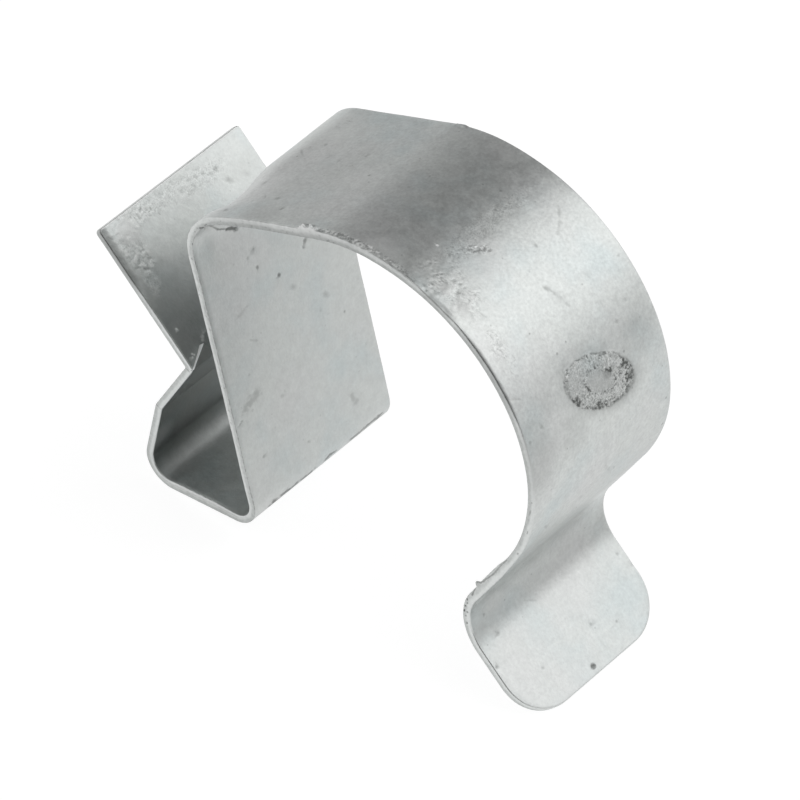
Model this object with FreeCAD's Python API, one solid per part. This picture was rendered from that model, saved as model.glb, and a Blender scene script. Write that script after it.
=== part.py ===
import FreeCAD, Part
import os
from math import asin, atan2, cos, degrees, hypot, radians, sin

# Girder cable clip: one strip of spring steel, sheared to width and folded.
# The jaw is pushed on to the edge of a girder's flange, and the arm ends in an open round loop for a cable.
# The side profile lies in X-Z and the strip's width runs along Y. The clip stands on its jaw and its lip.
# Sizes are in millimetres and angles in degrees.

STRIP_WIDTH = 20.0
STRIP_THICKNESS = 0.8

# Straight stretches, in order from the tongue's free end to the lip's free end
TONGUE_LENGTH = 15.35
THROAT_LENGTH = 7.85
POCKET_SIDE_LENGTH = 6.4
POCKET_FLOOR_LENGTH = 8.2
WALL_LENGTH = 28.4
ARM_LENGTH = 12.3
NECK_LENGTH = 7.8
LIP_LENGTH = 8.8

# Radius on the inside of each bend
CREASE_RADIUS = 0.2
KINK_RADIUS = 0.6
POCKET_RADIUS = 2.2
FOLD_RADIUS = 1.9
SHOULDER_RADIUS = 5.8
LOOP_RADIUS = 18.5
WAIST_RADIUS = 5.1

# Turn of each bend, anticlockwise positive with +X to the right and +Z up
CREASE_TURN = -75.0
KINK_TURN = 17.5
POCKET_TURN = 107.5
FOLD_TURN = 98.0
SHOULDER_TURN = -82.0
LOOP_TURN = -143.0
WAIST_TURN = 78.0

# Rounded corners at the strip's two free ends
LIP_CORNER_RADIUS = 4.8
TONGUE_CORNER_RADIUS = 0.4

# Tooth at each end of the crease. Its sheared edge starts at the strip's edge and runs in along the width
# and up the tongue to an apex that is pushed towards the wall, and its back slopes down to the crease.
TOOTH_REACH = 2.9
TOOTH_CLIMB = 1.5
TOOTH_HEIGHT = 0.55
TOOTH_BACK_LENGTH = 0.8


class Station:
    """A point on the strip's middle line, with the heading of the strip there."""

    def __init__(self, x, z, heading):
        self.x = x
        self.z = z
        self.heading = heading

    def beside(self, offset, y=0.0):
        """The point that lies offset to the left of the heading."""
        turn = radians(self.heading)
        return FreeCAD.Vector(self.x - offset * sin(turn), y, self.z + offset * cos(turn))

    def along(self, length):
        turn = radians(self.heading)
        return Station(self.x + length * cos(turn), self.z + length * sin(turn), self.heading)

    def around(self, centre_offset, turn):
        """The station after a bend about a centre that lies centre_offset to the left."""
        centre = self.beside(centre_offset)
        turned = Station(centre.x, centre.z, self.heading + turn)
        end = turned.beside(-centre_offset)
        return Station(end.x, end.z, turned.heading)


class Straight:
    def __init__(self, start, length):
        self.start = start
        self.end = start.along(length)

    def edge(self, offset):
        return Part.LineSegment(self.start.beside(offset), self.end.beside(offset)).toShape()


class Bend:
    def __init__(self, start, inside_radius, turn):
        middle_radius = inside_radius + STRIP_THICKNESS / 2
        centre_offset = middle_radius if turn > 0 else -middle_radius
        self.start = start
        self.centre = start.beside(centre_offset)
        self.outside_radius = inside_radius + STRIP_THICKNESS
        self.middle = start.around(centre_offset, turn / 2)
        self.end = start.around(centre_offset, turn)

    def edge(self, offset):
        points = [station.beside(offset) for station in (self.start, self.middle, self.end)]
        return Part.Arc(*points).toShape()


def fold_strip():
    """The stretches of the strip by name, in order, as drawn before the clip is stood up."""
    plan = [
        ("tongue", Straight, (TONGUE_LENGTH,)),
        ("crease", Bend, (CREASE_RADIUS, CREASE_TURN)),
        ("throat", Straight, (THROAT_LENGTH,)),
        ("kink", Bend, (KINK_RADIUS, KINK_TURN)),
        ("pocket_side", Straight, (POCKET_SIDE_LENGTH,)),
        ("pocket", Bend, (POCKET_RADIUS, POCKET_TURN)),
        ("pocket_floor", Straight, (POCKET_FLOOR_LENGTH,)),
        ("fold", Bend, (FOLD_RADIUS, FOLD_TURN)),
        ("wall", Straight, (WALL_LENGTH,)),
        ("shoulder", Bend, (SHOULDER_RADIUS, SHOULDER_TURN)),
        ("arm", Straight, (ARM_LENGTH,)),
        ("loop", Bend, (LOOP_RADIUS, LOOP_TURN)),
        ("neck", Straight, (NECK_LENGTH,)),
        ("waist", Bend, (WAIST_RADIUS, WAIST_TURN)),
        ("lip", Straight, (LIP_LENGTH,)),
    ]
    stretches = {}
    station = Station(0.0, 0.0, 0.0)
    for name, kind, sizes in plan:
        stretches[name] = kind(station, *sizes)
        station = stretches[name].end
    return stretches


def strip_solid(stretches):
    """The folded strip with square ends, its width centred on Y = 0."""
    half = STRIP_THICKNESS / 2
    first = stretches["tongue"].start
    last = stretches["lip"].end
    left = [stretch.edge(half) for stretch in stretches.values()]
    right = [stretch.edge(-half) for stretch in stretches.values()]
    caps = [Part.LineSegment(end.beside(half), end.beside(-half)).toShape() for end in (first, last)]
    outline = Part.Wire(Part.__sortEdges__(left + right + caps))
    solid = Part.Face(outline).extrude(FreeCAD.Vector(0, STRIP_WIDTH, 0))
    solid.translate(FreeCAD.Vector(0, -STRIP_WIDTH / 2, 0))
    return solid


def round_end(solid, end, radius):
    """Round the two corners of the strip at one free end."""
    middle = end.beside(0.0)
    near = STRIP_THICKNESS / 10
    corners = []
    for edge in solid.Edges:
        distance = hypot(edge.CenterOfMass.x - middle.x, edge.CenterOfMass.z - middle.z)
        if distance < near and abs(edge.Length - STRIP_THICKNESS) < near:
            corners.append(edge)
    return solid.makeFillet(radius, corners)


def polyhedron(points, faces):
    sides = [Part.Face(Part.makePolygon([points[i] for i in face + face[:1]])) for face in faces]
    return Part.Solid(Part.Shell(sides))


def tooth_wedge(crease_station, side, surface, sunk):
    """A wedge under the raised tooth, on the face at the offset surface, and sunk that far below it."""

    def point(climb, reach, height):
        y = side * (STRIP_WIDTH / 2 - reach)
        return crease_station.along(-climb).beside(surface + height, y)

    root = (0.0, 0.0)
    apex = (TOOTH_CLIMB, TOOTH_REACH)
    back = (0.0, TOOTH_REACH + TOOTH_BACK_LENGTH)
    points = [point(*root, -sunk), point(*apex, -sunk), point(*back, -sunk)]
    points += [point(*root, 0.0), point(*apex, TOOTH_HEIGHT), point(*back, 0.0)]
    faces = [[0, 1, 2], [3, 4, 5], [0, 1, 4, 3], [1, 2, 5, 4], [2, 0, 3, 5]]
    return polyhedron(points, faces)


def cut_teeth(solid, crease_station):
    """Push a tooth out of the tongue's inner face at both edges of the strip, and hollow the face behind it."""
    half = STRIP_THICKNESS / 2
    for side in (-1, 1):
        solid = solid.fuse(tooth_wedge(crease_station, side, half, half))
        solid = solid.cut(tooth_wedge(crease_station, side, -half, half))
    return solid.removeSplitter()


def stand_up(solid, stretches):
    """Turn the clip so that it rests on the jaw and the lip's end, and centre it over the origin."""
    toe = stretches["lip"].end.beside(-STRIP_THICKNESS / 2)
    slopes = []
    for bend in (stretches["pocket"], stretches["fold"]):
        run = toe.sub(bend.centre)
        slopes.append(degrees(atan2(run.z, run.x) + asin(bend.outside_radius / hypot(run.x, run.z))))
    # A positive turn about Y takes +Z towards +X, which lowers the lip's end of the clip.
    solid.rotate(toe, FreeCAD.Vector(0, 1, 0), max(slopes))
    box = solid.optimalBoundingBox(False)
    solid.translate(FreeCAD.Vector(-box.Center.x, -box.Center.y, -toe.z))
    return solid


def clip_strip():
    stretches = fold_strip()
    solid = strip_solid(stretches)
    solid = round_end(solid, stretches["lip"].end, LIP_CORNER_RADIUS)
    solid = round_end(solid, stretches["tongue"].start, TONGUE_CORNER_RADIUS)
    solid = cut_teeth(solid, stretches["tongue"].end)
    return stand_up(solid, stretches)


os.makedirs("parts", exist_ok=True)
clip_strip().exportStep("parts/clip_strip.step")
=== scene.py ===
from dataclasses import dataclass
from math import asin, atan2, cos, hypot, pi, radians, sin

import bmesh
import bpy
import numpy as np
from mathutils import Matrix, Vector


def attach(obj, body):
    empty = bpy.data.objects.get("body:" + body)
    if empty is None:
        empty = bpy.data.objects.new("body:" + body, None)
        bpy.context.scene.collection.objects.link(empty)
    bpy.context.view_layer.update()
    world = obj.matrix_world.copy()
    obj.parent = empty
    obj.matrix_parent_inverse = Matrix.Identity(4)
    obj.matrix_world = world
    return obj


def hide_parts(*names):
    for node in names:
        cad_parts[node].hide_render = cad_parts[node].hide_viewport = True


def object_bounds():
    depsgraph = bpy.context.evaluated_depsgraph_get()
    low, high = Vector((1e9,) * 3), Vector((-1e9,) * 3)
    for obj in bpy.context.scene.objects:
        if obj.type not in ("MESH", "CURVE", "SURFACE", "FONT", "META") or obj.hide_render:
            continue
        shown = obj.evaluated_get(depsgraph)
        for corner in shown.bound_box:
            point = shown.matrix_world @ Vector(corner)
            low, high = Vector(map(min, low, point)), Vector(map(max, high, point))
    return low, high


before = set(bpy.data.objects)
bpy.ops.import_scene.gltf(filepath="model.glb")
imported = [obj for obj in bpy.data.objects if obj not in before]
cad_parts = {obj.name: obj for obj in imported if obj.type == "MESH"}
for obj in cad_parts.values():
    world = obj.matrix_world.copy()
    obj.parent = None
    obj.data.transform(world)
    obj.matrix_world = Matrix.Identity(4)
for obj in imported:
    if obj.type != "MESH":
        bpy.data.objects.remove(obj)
cad_low, cad_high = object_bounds()

# Girder cable clip: one folded strip of zinc-plated spring steel, with its sheared edges, teeth and marks.
# Sizes are in millimetres and angles in degrees until a point is placed in the frame, which is in metres.

MM = 0.001
STRIP_WIDTH = 20.0
STRIP_THICKNESS = 0.8
HALF = STRIP_THICKNESS / 2

# Stretches from the tongue's free end to the lip's: (name, length, 0) or (name, inside radius, turn)
FOLD_PLAN = [
    ("tongue", 15.35, 0.0),
    ("crease", 0.2, -75.0),
    ("throat", 7.85, 0.0),
    ("kink", 0.6, 17.5),
    ("pocket_side", 6.4, 0.0),
    ("pocket", 2.2, 107.5),
    ("pocket_floor", 8.2, 0.0),
    ("fold", 1.9, 98.0),
    ("wall", 28.4, 0.0),
    ("shoulder", 5.8, -82.0),
    ("arm", 12.3, 0.0),
    ("loop", 18.5, -143.0),
    ("neck", 7.8, 0.0),
    ("waist", 5.1, 78.0),
    ("lip", 8.8, 0.0),
]
LIP_CORNER_RADIUS = 4.8
TONGUE_CORNER_RADIUS = 0.4

# Tooth at each end of the crease
TOOTH_REACH = 2.9
TOOTH_CLIMB = 1.5
TOOTH_HEIGHT = 0.55
TOOTH_BACK_LENGTH = 0.8

# Mesh spacing along the strip and across it. Detail halves the spacing, up to this many times.
ROW_STEP = 0.55
COLUMN_STEP = 0.55
BEND_ROWS = {"crease": 10, "kink": 4, "pocket": 18, "fold": 16, "shoulder": 32, "waist": 26}
LIP_CORNER_ROWS = 16
TONGUE_CORNER_ROWS = 3
MOST_HALVINGS = 3

# Rounding of the sheared edges, where the blade drew each face over
LEFT_EDGE_ROUNDING = 0.15
RIGHT_EDGE_ROUNDING = 0.06
EDGE_SKIN = 0.005
EDGE_Y = STRIP_WIDTH / 2 - EDGE_SKIN

# Points along the profile at which its outermost places are looked for
PROFILE_SAMPLES = 8001

LEFT = 1
RIGHT = -1
FRONT = -1
BACK = 1


@dataclass
class Stretch:
    """A straight or evenly bent stretch of the strip's middle line, which starts at the point x, z."""

    start: float
    length: float
    curvature: float
    x: float
    z: float
    heading: float

    @property
    def end(self):
        return self.start + self.length

    def at(self, distance):
        """The point and heading that far along the stretch."""
        heading = self.heading + self.curvature * distance
        if self.curvature == 0.0:
            return self.x + distance * cos(self.heading), self.z + distance * sin(self.heading), heading
        x = self.x + (np.sin(heading) - sin(self.heading)) / self.curvature
        z = self.z - (np.cos(heading) - cos(self.heading)) / self.curvature
        return x, z, heading

    def centre(self):
        radius = 1.0 / self.curvature
        return self.x - radius * sin(self.heading), self.z + radius * cos(self.heading)


class Strip:
    """The folded strip: it takes a point of the flat strip to its place in the frame."""

    def __init__(self, plan):
        self.stretches = {}
        x = z = heading = start = 0.0
        for name, size, turn in plan:
            if turn == 0.0:
                length = size
                curvature = 0.0
            else:
                radius = size + HALF
                length = radius * abs(radians(turn))
                curvature = radians(turn) / length
            stretch = Stretch(start, length, curvature, x, z, heading)
            self.stretches[name] = stretch
            x, z, heading = stretch.at(length)
            start += length
        self.length = start
        self.tilt = 0.0
        self.shift_x = 0.0
        self.shift_z = 0.0
        self.stand_up()

    def stand_up(self):
        """Turn the profile so that it rests on the jaw and the lip's end, and centre it over the origin."""
        x, z, heading = self.middle(np.array([self.length]))
        toe_x = x[0] + HALF * sin(heading[0])
        toe_z = z[0] - HALF * cos(heading[0])
        slopes = []
        for name in ("pocket", "fold"):
            bend = self.stretches[name]
            centre_x, centre_z = bend.centre()
            run_x = toe_x - centre_x
            run_z = toe_z - centre_z
            outside_radius = 1.0 / bend.curvature + HALF
            slopes.append(atan2(run_z, run_x) + asin(outside_radius / hypot(run_x, run_z)))
        self.tilt = -max(slopes)
        s = np.linspace(0.0, self.length, PROFILE_SAMPLES)
        points = np.concatenate([self.place(s, s * 0.0, HALF), self.place(s, s * 0.0, -HALF)]) / MM
        self.shift_x = (points[:, 0].min() + points[:, 0].max()) / 2
        self.shift_z = points[:, 2].min()

    def middle(self, s):
        x = np.zeros_like(s)
        z = np.zeros_like(s)
        heading = np.zeros_like(s)
        for stretch in self.stretches.values():
            inside = s >= stretch.start
            x[inside], z[inside], heading[inside] = stretch.at(s[inside] - stretch.start)
        return x, z, heading

    def place(self, s, y, offset):
        """Points in the frame at s along the strip, y across it and offset to the left of its middle."""
        x, z, heading = self.middle(s)
        x = x - offset * np.sin(heading)
        z = z + offset * np.cos(heading)
        turned_x = cos(self.tilt) * x - sin(self.tilt) * z - self.shift_x
        turned_z = sin(self.tilt) * x + cos(self.tilt) * z - self.shift_z
        return np.stack([turned_x, y, turned_z], axis=-1) * MM

    def station(self, name, along):
        return self.stretches[name].start + along


strip = Strip(FOLD_PLAN)


def smooth_step(low, high, value):
    t = np.clip((value - low) / (high - low), 0.0, 1.0)
    return t * t * (3.0 - 2.0 * t)


class FlatNoise:
    """Smooth noise from -1 to 1 over the flat strip, with cells of one size that are set askew to it."""

    TILE = 97
    TURN = radians(34)

    def __init__(self, seed, size):
        self.size = size
        self.lattice = np.random.default_rng(seed).uniform(-1.0, 1.0, (self.TILE, self.TILE))

    def __call__(self, s, y):
        u = (s * cos(self.TURN) - y * sin(self.TURN)) / self.size
        v = (s * sin(self.TURN) + y * cos(self.TURN)) / self.size
        i = np.floor(u).astype(int)
        j = np.floor(v).astype(int)
        a = smooth_step(0.0, 1.0, u - i)
        b = smooth_step(0.0, 1.0, v - j)
        low = self.corner(i, j) * (1 - a) + self.corner(i + 1, j) * a
        high = self.corner(i, j + 1) * (1 - a) + self.corner(i + 1, j + 1) * a
        return low * (1 - b) + high * b

    def corner(self, i, j):
        return self.lattice[i % self.TILE, j % self.TILE]


wave_noise = FlatNoise(11, 5.2)
dent_noise = FlatNoise(12, 0.95)
wrinkle_noise = FlatNoise(13, 0.42)
ragged_noise = FlatNoise(14, 0.34)
grain_noise = FlatNoise(15, 0.19)
fleck_noise = FlatNoise(16, 0.17)


def off_line(along, across, run, rise):
    """Steps to a point, along and across, from the nearest point of a line that starts at the origin."""
    share = (along * run + across * rise) / max(run ** 2 + rise ** 2, 1e-12)
    share = np.clip(share, 0.0, 1.0)
    return along - share * run, across - share * rise


class Mark:
    """A pit, lump or smudge on one face of the strip. A negative depth stands proud."""

    halvings = 2
    rough = 0.0
    raggedness = 1.0

    def __init__(self, side, stretch, along, y, reach, depth=0.0, grime_and_shade=0.0, bare_and_highlight=0.0):
        self.side = side
        self.s = strip.station(stretch, along)
        self.y = y
        self.reach = reach
        self.depth = depth
        self.grime_and_shade = grime_and_shade
        self.bare_and_highlight = bare_and_highlight

    def distance(self, s, y):
        return np.hypot(s - self.s, y - self.y)

    def weight(self, s, y):
        ragged = 1.0 + self.raggedness * (0.4 * ragged_noise(s, y) + 0.25 * grain_noise(s, y))
        return 1.0 - smooth_step(0.25, 1.0, self.distance(s, y) * ragged / self.reach)

    def height(self, s, y, weight):
        return -self.depth * weight

    def stain(self, s, y, weight):
        """How much of the mark's grime and painted shade shows at each point."""
        return weight

    def shine(self, s, y, weight):
        """How much of the mark's bare metal and painted highlight shows at each point."""
        return weight

    def covers(self, s, y):
        return self.distance(s, y) < self.reach * 1.5


class Smudge(Mark):
    """A broad soft patch with no relief, which darkens the face as a stain and painted shade, and pales it
    as worn metal and painted light.
    """

    halvings = 0
    raggedness = 0.1


class Flake(Mark):
    """A small pale fleck of bare zinc and painted highlight, on a finer mesh."""

    halvings = 3


class Dot(Flake):
    """A round pit or speck."""

    raggedness = 0.25


class Scratch(Mark):
    """A mark drawn out from one point of the face to another."""

    def __init__(self, side, stretch, along, y, run, rise, reach, depth=0.0, grime_and_shade=0.0, bare_and_highlight=0.0):
        super().__init__(side, stretch, along, y, reach, depth, grime_and_shade, bare_and_highlight)
        self.run = run
        self.rise = rise

    def distance(self, s, y):
        along, across = off_line(s - self.s, y - self.y, self.run, self.rise)
        bend = 0.35 * self.reach * wrinkle_noise(s * 0.5, y * 0.5)
        return np.hypot(along + bend, across + bend)

    def stain(self, s, y, weight):
        return weight * smooth_step(-1.1, -0.1, ragged_noise(s + 40.0, y))


class Patch(Mark):
    """An oval area of the face that is hammered into dents."""

    halvings = 1

    def __init__(self, side, stretch, along, y, half_length, half_width, relief, grime_and_shade=0.0, bare_and_highlight=0.0):
        super().__init__(side, stretch, along, y, 1.0, relief, grime_and_shade, bare_and_highlight)
        self.half_length = half_length
        self.half_width = half_width

    def distance(self, s, y):
        return np.hypot((s - self.s) / self.half_length, (y - self.y) / self.half_width)

    def weight(self, s, y):
        return 1.0 - smooth_step(0.35, 1.0, self.distance(s, y) + 0.15 * dent_noise(s, y))

    def height(self, s, y, weight):
        return self.depth * weight * (0.7 * dent_noise(s, y) + 0.45 * wrinkle_noise(s, y))

    def covers(self, s, y):
        return self.distance(s, y) < 1.05


class Crinkle(Patch):
    """An oval area of fine winding wrinkles, with painted shade in the creases and painted highlight on the
    swells between them.
    """

    halvings = 2
    rough = 0.3
    spacing = 0.5

    def swell(self, s, y):
        wander = 1.1 * dent_noise(s, y) + 0.5 * wrinkle_noise(s, y)
        return np.abs(np.sin(pi * (y / self.spacing + wander))) + 0.3 * grain_noise(s, y)

    def weight(self, s, y):
        return super().weight(s, y) * smooth_step(-0.5, 0.3, dent_noise(s + 30.0, y))

    def height(self, s, y, weight):
        return self.depth * weight * (self.swell(s, y) - 0.6)

    def stain(self, s, y, weight):
        return weight * (1.0 - smooth_step(0.1, 0.5, self.swell(s, y)))

    def shine(self, s, y, weight):
        return weight * smooth_step(0.55, 1.0, self.swell(s, y))


class Speckle(Patch):
    """An oval area of torn specks, with painted shade in their dips and painted highlight on their rises."""

    halvings = 3
    rough = 0.7

    def fleck(self, s, y):
        return 0.7 * fleck_noise(s, y) + 0.4 * ragged_noise(s, y)

    def height(self, s, y, weight):
        return self.depth * weight * self.fleck(s, y)

    def stain(self, s, y, weight):
        return weight * smooth_step(0.05, 0.4, -self.fleck(s, y))

    def shine(self, s, y, weight):
        return weight * smooth_step(0.05, 0.4, self.fleck(s, y))


class Mottle(Speckle):
    """An oval area of blotches, like fine lichen, with painted shade in the dips and painted highlight on
    the rises.
    """

    halvings = 2
    rough = 0.35

    def fleck(self, s, y):
        return 0.6 * wrinkle_noise(s, y) + 0.4 * ragged_noise(s, y) + 0.35 * grain_noise(s, y)


class Burr(Mark):
    """A ridge along one edge of the strip, turned up on one face, and torn as far as jag says."""

    def __init__(self, side, stretch, edge, along, length, width, proud, grime_and_shade=0.0, bare_and_highlight=0.0, jag=1.0):
        super().__init__(side, stretch, along, edge * EDGE_Y, width, -proud, grime_and_shade, bare_and_highlight)
        self.edge = edge
        self.length = length
        self.jag = jag

    def share(self, s):
        return np.abs(s - self.s - self.length / 2) / (self.length / 2)

    def inset(self, y):
        return EDGE_Y - self.edge * y

    def weight(self, s, y):
        reach = self.reach * (1.0 + 0.35 * self.jag * ragged_noise(s, y))
        across = 1.0 - smooth_step(0.25, 1.0, self.inset(y) / reach)
        along = 1.0 - smooth_step(0.4, 1.0, self.share(s))
        return across * along * (0.8 + self.jag * (0.3 * ragged_noise(s, y) + 0.2 * grain_noise(s, y)))

    def covers(self, s, y):
        return (self.inset(y) < self.reach * 1.4) & (self.share(s) < 1.05)


@dataclass
class EdgeMark:
    """A pit or scored line on the sheared face at one edge of the strip."""

    halvings = 2
    BAND = 0.1

    edge: int
    stretch: str
    along: float
    offset: float
    run: float
    rise: float
    reach: float
    depth: float
    grime_and_shade: float

    def __post_init__(self):
        self.s = strip.station(self.stretch, self.along)

    def weight(self, s, offset):
        distance = np.hypot(*off_line(s - self.s, offset - self.offset, self.run, self.rise))
        ragged = 1.0 + 0.4 * ragged_noise(s, 3.0 * offset) + 0.3 * grain_noise(s, 3.0 * offset)
        return 1.0 - smooth_step(0.3, 1.0, distance * ragged / self.reach)

    def covers(self, s, y):
        near = self.reach * 1.5
        return (self.edge * y > EDGE_Y - self.BAND) & (s > self.s - near) & (s < self.s + self.run + near)


def placed(kind, side, rows_by_stretch):
    """Marks of one kind on one face or edge, from the rows that give their places and sizes by stretch."""
    return [kind(side, stretch, *row) for stretch, rows in rows_by_stretch.items() for row in rows]


# Pits, lumps and smudges: (along, y, reach, depth, grime and painted shade, bare metal and painted
# highlight). The broad pale lumps on the loop and at the tongue's free corner are painted highlights.
MARKS = placed(Dot, LEFT, {
    "lip": [(7.96, -0.49, 0.42, 0.1, 0.75)],
    "tongue": [(11.97, -8.97, 0.2, -0.05, 0.0, 1.0)],
})
MARKS += placed(Mark, LEFT, {
    "lip": [
        (-0.40, -7.34, 0.34, 0.03, 0.3), (4.75, 2.02, 0.24, 0.03, 0.3), (1.22, 9.05, 0.3, 0.03, 0.25),
        (4.97, -5.34, 0.22, 0.03, 0.25), (1.98, -9.6, 0.26, 0.05, 0.5),
    ],
    "waist": [(4.30, -8.0, 0.22, 0.03, 0.35)],
    "loop": [
        (29.9, -7.5, 0.3, 0.03, 0.35), (30.4, -9.35, 0.36, 0.03, 0.4), (26.4, 5.2, 0.26, 0.03, 0.35),
        (25.3, 7.2, 0.22, 0.02, 0.25), (16.5, 2.4, 0.16, 0.02, 0.4), (21.4, 5.0, 0.5, 0.015, 0.14),
        (41.6, 2.35, 0.3, 0.02, 0.2), (21.6, 0.9, 0.9, 0.01, 0.12), (14.4, -8.1, 0.9, -0.03, 0.0, 0.5),
        (16.5, -8.4, 1.3, -0.03, 0.0, 0.5),
    ],
    "arm": [
        (1.6, 3.4, 0.28, 0.02, 0.3), (3.6, 1.5, 0.22, 0.02, 0.3), (5.3, 1.25, 0.22, 0.02, 0.3),
        (3.9, -5.9, 0.32, 0.02, 0.28), (5.8, -7.4, 0.32, 0.03, 0.35), (0.0, -3.6, 0.4, 0.02, 0.18),
        (11.4, 2.0, 0.24, 0.02, 0.2),
    ],
    "shoulder": [(8.3, -8.6, 0.4, 0.03, 0.3), (7.5, -7.3, 0.26, 0.03, 0.45)],
    "tongue": [
        (2.16, 4.88, 0.5, 0.03, 0.3), (3.7, 5.5, 0.16, 0.02, 0.4), (1.8, -7.4, 1.8, -0.04, 0.0, 0.6),
    ],
})
MARKS += placed(Flake, LEFT, {
    "loop": [(10.5, -4.9, 0.2, -0.04, 0.0, 0.9)],
    "tongue": [
        (14.75, -9.05, 0.2, -0.05, 0.0, 1.0), (14.95, -8.9, 0.18, -0.05, 0.0, 1.0),
        (15.05, -9.2, 0.18, -0.05, 0.0, 1.0), (14.05, -6.95, 0.3, -0.02, 0.0, 0.6),
        (14.35, -7.15, 0.22, -0.02, 0.0, 0.7), (13.8, -6.65, 0.2, -0.02, 0.0, 0.5),
    ],
})
MARKS += placed(Smudge, LEFT, {
    "tongue": [(5.5, 8.2, 4.0, 0.0, 0.16), (7.0, -8.8, 5.5, 0.0, 0.28)],
    "arm": [(4.0, -9.4, 3.4, 0.0, 0.16), (0.3, 6.5, 4.0, 0.0, 0.0, 0.2)],
    "loop": [
        (32.8, -4.0, 3.4, 0.0, 0.13), (32.6, -9.7, 5.5, 0.0, 0.24), (28.6, 6.4, 3.0, 0.0, 0.12),
        (7.4, -9.2, 3.2, 0.0, 0.0, 0.24), (14.3, -3.7, 3.4, 0.0, 0.0, 0.2),
        (7.4, 9.6, 3.0, 0.0, 0.0, 0.12),
    ],
    "pocket_side": [(4.5, -9.2, 2.4, 0.0, 0.0, 0.25)],
})
MARKS += placed(Mark, RIGHT, {
    "wall": [
        (20.85, -0.3, 0.3, 0.05, 0.75), (23.2, -2.75, 0.22, 0.04, 0.55), (25.2, -2.7, 0.2, 0.04, 0.55),
        (24.8, -3.7, 0.26, 0.02, 0.25), (18.5, 1.1, 0.22, 0.02, 0.3), (2.1, -1.4, 0.24, 0.03, 0.35),
        (8.8, -3.4, 0.34, 0.02, 0.18), (4.2, -7.3, 0.22, 0.03, 0.4), (13.4, -6.8, 0.24, 0.02, 0.25),
        (22.2, 3.8, 0.34, 0.05, 0.5),
    ],
    # A dark pit at the start of the shoulder, darkened as painted shade
    "shoulder": [(0.2, -4.3, 0.34, 0.06, 0.8)],
})

# Scratches and cracks: (along, y, run along, run across, reach, depth, grime and painted shade, bare metal
# and painted highlight)
MARKS += placed(Scratch, LEFT, {
    "loop": [
        (19.9, 0.3, 2.6, 1.0, 0.2, 0.02, 0.18), (25.8, -9.5, 0.5, 0.9, 0.12, 0.02, 0.2),
        (19.8, 0.2, 0.9, 0.4, 0.26, 0.03, 0.4), (14.9, 7.4, 1.9, -2.2, 0.2, 0.01, 0.24),
        (13.6, -2.4, 2.6, -0.9, 0.1, -0.02, 0.0, 0.25), (42.1, -7.4, 0.7, 0.4, 0.2, 0.02, 0.25),
        (40.0, 0.6, 1.7, 1.4, 0.3, 0.015, 0.12), (15.3, -7.9, 3.2, 0.9, 0.12, 0.02, 0.25),
        (12.75, -3.1, 1.25, 1.7, 0.28, 0.03, 0.42),
    ],
    "arm": [
        (-0.3, 1.85, 1.0, -0.8, 0.12, 0.02, 0.35), (2.0, -5.6, 0.4, -0.6, 0.12, 0.02, 0.3),
        (10.3, -9.0, 1.5, -0.2, 0.16, 0.06, 0.65), (12.2, -9.75, 12.0, 0.0, 0.09, 0.04, 0.4),
    ],
    "lip": [(-1.3, -2.9, 0.9, 1.3, 0.14, 0.01, 0.12)],
    "tongue": [(0.06, -9.6, 0.0, 19.2, 0.16, 0.0, 0.0, 0.7)],
})
MARKS += placed(Scratch, RIGHT, {
    # A dark line of shallow grooves across the shoulder, darkened as painted shade along the bend
    "shoulder": [
        (1.8, -6.6, 3.4, -2.9, 0.13, 0.04, 0.6), (0.9, -5.3, 1.0, -1.4, 0.15, 0.04, 0.7),
        (0.1, -4.2, 0.8, -1.1, 0.38, 0.06, 0.85),
    ],
    "wall": [
        (21.7, 3.5, 0.8, 0.6, 0.2, 0.05, 0.6), (19.8, -6.9, 0.4, 1.8, 0.2, 0.01, 0.16),
        (9.1, -9.6, 0.3, 0.6, 0.16, 0.02, 0.5), (10.3, -8.2, 0.75, 1.95, 0.7, 0.0, 0.28),
        (16.1, -4.9, 0.6, -0.8, 0.16, 0.01, 0.2), (3.5, 5.3, -1.3, 0.2, 0.5, 0.01, 0.25),
    ],
    # Dark ragged lines along the fold
    "fold": [
        (2.6, -7.4, -0.1, 5.9, 0.46, 0.02, 0.8), (2.75, 0.7, 0.1, 1.0, 0.4, 0.02, 0.7),
        (2.65, 4.2, 0.1, 4.6, 0.36, 0.02, 0.65),
    ],
})

# Hammered areas: (along, y, half length, half width, relief)
MARKS += placed(Patch, LEFT, {
    "loop": [(16.5, -9.2, 9.5, 3.6, 0.012), (26.0, -3.5, 3.0, 5.5, 0.01)],
    "tongue": [(3.0, -8.2, 4.2, 3.2, 0.014)],
})

# Fine wrinkles: (along, y, half length, half width, relief, painted shade in the creases, painted highlight
# on the swells)
MARKS += placed(Crinkle, LEFT, {
    "loop": [
        (15.0, -7.6, 5.0, 3.0, 0.06, 0.46, 0.5), (21.5, -7.8, 3.6, 1.6, 0.03, 0.3, 0.3),
        (12.4, -4.2, 2.0, 2.4, 0.02, 0.38, 0.1),
    ],
    "arm": [(0.6, 7.3, 0.9, 1.3, 0.02, 0.35)],
    "tongue": [(4.6, -7.9, 3.2, 1.7, 0.035, 0.22, 0.2), (1.4, -5.2, 1.1, 4.2, 0.045, 0.38, 0.4)],
})

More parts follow.
